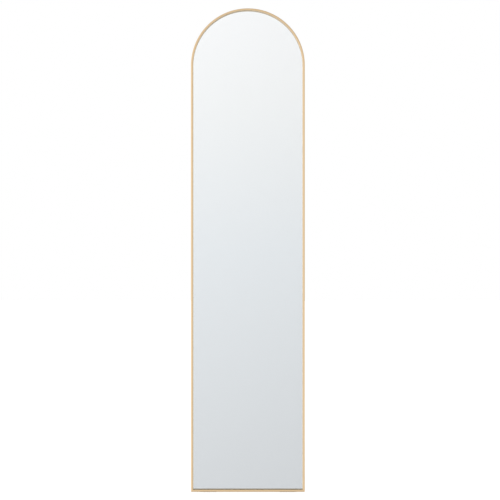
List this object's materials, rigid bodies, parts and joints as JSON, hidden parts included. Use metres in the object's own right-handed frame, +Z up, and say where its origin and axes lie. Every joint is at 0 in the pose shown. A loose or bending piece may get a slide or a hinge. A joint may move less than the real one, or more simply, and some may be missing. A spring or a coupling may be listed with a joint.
{
  "type": "leaning floor mirror",
  "caption": "Tall leaning floor mirror with a semicircular head, a slim crowned metal frame, a silvered pane on a fibreboard panel and swinging D rings on the back.",
  "frame": {"origin": "on the floor, under the middle of the mirror's width and depth", "axes": "+X to the right seen from the front, +Y to the back, +Z up; the mirror stands upright and faces -Y"},
  "size_m": [0.4, 0.0316, 1.7],
  "materials": {
    "frame": "satin champagne gold anodised",
    "key_metal": "mill",
    "steel": "bright zinc plated",
    "glass": "polished float glass",
    "silvering": "silver behind glass, paint at the back",
    "foam": "double-sided foam tape",
    "fibreboard": "bare medium density fibreboard",
    "rubber": "black rubber",
    "clear_pad": "clear soft polyurethane"
  },
  "bodies": {
    "mirror": {"arch_frame": "frame", "bottom_rail": "frame", "corner_key_left": "key_metal", "corner_key_right": "key_metal", "alignment_angle_left": "steel", "alignment_angle_right": "steel", "corner_key_screws": "steel", "mirror_glass": "glass", "mirror_silvering": "silvering", "mounting_tape": "foam", "back_panel": "fibreboard", "setting_blocks": "rubber", "side_blocks": "rubber", "hanger_strap_left": "steel", "hanger_strap_right": "steel", "hanger_screws": "steel", "wall_bumpers": "clear_pad", "floor_pads": "clear_pad"},
    "ring_left": {"hanger_ring_left": "steel"},
    "ring_right": {"hanger_ring_right": "steel"}
  },
  "joints": [
    {"name": "ring_left_swing", "type": "hinge", "parent": "mirror", "child": "ring_left", "pos_m": [-0.15, 0.0089, 1.38], "axis": [1, 0, 0], "range_deg": [0, 175]},
    {"name": "ring_right_swing", "type": "hinge", "parent": "mirror", "child": "ring_right", "pos_m": [0.15, 0.0089, 1.38], "axis": [1, 0, 0], "range_deg": [0, 175]}
  ]
}
